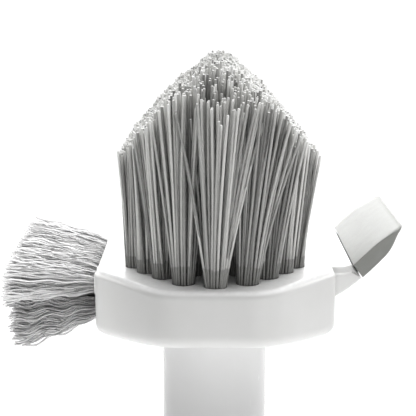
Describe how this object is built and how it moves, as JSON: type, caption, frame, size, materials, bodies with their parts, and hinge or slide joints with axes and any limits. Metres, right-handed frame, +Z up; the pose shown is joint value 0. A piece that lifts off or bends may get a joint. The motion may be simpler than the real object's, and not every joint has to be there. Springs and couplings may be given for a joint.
{
  "type": "cleaning brush",
  "caption": "Long-handled cleaning brush: stiff bristles trimmed to a ridge on top, soft crimped bristles on one side of the head and an angled scraper blade on the other.",
  "frame": {"origin": "centre of the flat end of the handle, which the brush stands on", "axes": "+Z up along the handle towards the bristles, +X towards the scraper, -Y the front end of the head"},
  "size_m": [0.0727, 0.0744, 0.2413],
  "materials": {
    "head_plastic": "satin white injection-moulded plastic",
    "handle_plastic": "satin white tube",
    "cap_plastic": "satin white moulded cap",
    "scraper_plastic": "matt grey moulded blade",
    "stiff_filament": "straight grey filaments with cut ends",
    "crimped_filament": "soft light grey crimped filaments"
  },
  "bodies": {
    "root": {"handle_end_cap": "cap_plastic", "handle_tube": "handle_plastic", "head_block": "head_plastic", "left_inner_tufts_front": "stiff_filament", "left_inner_tufts_mid": "stiff_filament", "left_inner_tufts_rear": "stiff_filament", "left_middle_tufts_front": "stiff_filament", "left_middle_tufts_mid": "stiff_filament", "left_middle_tufts_rear": "stiff_filament", "left_outer_tufts_front": "stiff_filament", "left_outer_tufts_mid": "stiff_filament", "left_outer_tufts_rear": "stiff_filament", "ridge_tufts_front": "stiff_filament", "ridge_tufts_mid": "stiff_filament", "ridge_tufts_rear": "stiff_filament", "right_inner_tufts_front": "stiff_filament", "right_inner_tufts_mid": "stiff_filament", "right_inner_tufts_rear": "stiff_filament", "right_middle_tufts_front": "stiff_filament", "right_middle_tufts_mid": "stiff_filament", "right_middle_tufts_rear": "stiff_filament", "right_outer_tufts_front": "stiff_filament", "right_outer_tufts_mid": "stiff_filament", "right_outer_tufts_rear": "stiff_filament", "scraper_blade": "scraper_plastic", "side_lower_tufts_front": "crimped_filament", "side_lower_tufts_rear": "crimped_filament", "side_upper_tufts_front": "crimped_filament", "side_upper_tufts_rear": "crimped_filament"}
  },
  "joints": []
}
